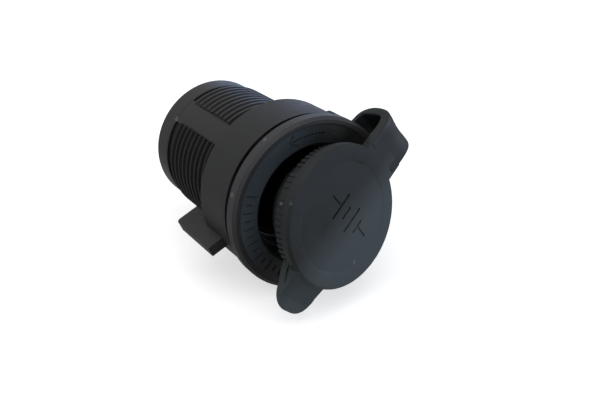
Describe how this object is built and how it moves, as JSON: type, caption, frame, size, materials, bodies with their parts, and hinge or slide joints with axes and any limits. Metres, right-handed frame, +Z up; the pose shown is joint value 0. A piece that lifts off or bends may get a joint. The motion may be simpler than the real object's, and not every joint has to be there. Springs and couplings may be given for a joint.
{
  "type": "12 volt power socket",
  "caption": "Round panel-mounted 12 volt power socket: threaded barrel, wing nut behind a flanged face, and a rubber cap tethered by a strap.",
  "frame": {"origin": "centre of the flange's rear face, where the socket seats on its panel", "axes": "-Y out of the face towards the user, +Y along the barrel behind the panel, +Z up"},
  "size_m": [0.0401, 0.0635, 0.0354],
  "materials": {
    "black_nylon": "moulded glass-filled nylon, satin black",
    "nut_nylon": "moulded nylon, dull black",
    "cap_rubber": "soft moulded rubber, charcoal black",
    "nickel_plate": "nickel-plated drawn brass shell",
    "tinned_brass": "stamped brass blade",
    "bare_brass": "turned brass",
    "fibre": "red-brown vulcanised fibre",
    "spring_steel": "plain spring steel"
  },
  "bodies": {
    "socket": {"housing": "black_nylon", "tether_ring": "cap_rubber", "tether_strap": "cap_rubber", "contact_sleeve": "nickel_plate", "ground_terminal": "tinned_brass", "ground_rivet": "tinned_brass", "insulator_bush": "fibre", "contact_stud": "bare_brass", "contact_guide": "black_nylon", "contact_spring": "spring_steel", "fibre_washer": "fibre", "positive_terminal": "tinned_brass", "lock_washer": "spring_steel", "stud_nut": "bare_brass"},
    "nut": {"wing_nut": "nut_nylon"},
    "cap": {"cap": "cap_rubber"},
    "button": {"contact_button": "bare_brass"}
  },
  "joints": [
    {"name": "cap_swing", "type": "hinge", "parent": "socket", "child": "cap", "pos_m": [0.01699, -0.0045, 0.01234], "axis": [-0.5878, 0, 0.809], "range_deg": [-12.5, 135], "deforming": ["tether_strap"]},
    {"name": "nut_turn", "type": "hinge", "parent": "socket", "child": "nut", "pos_m": [0, 0, 0], "axis": [0, 1, 0], "continuous": true},
    {"name": "contact_press", "type": "slide", "parent": "socket", "child": "button", "axis": [0, 1, 0], "range_m": [0, 0.0016], "stiffness_N_per_m": 600, "springref_m": -0.004, "deforming": ["contact_spring"]}
  ]
}
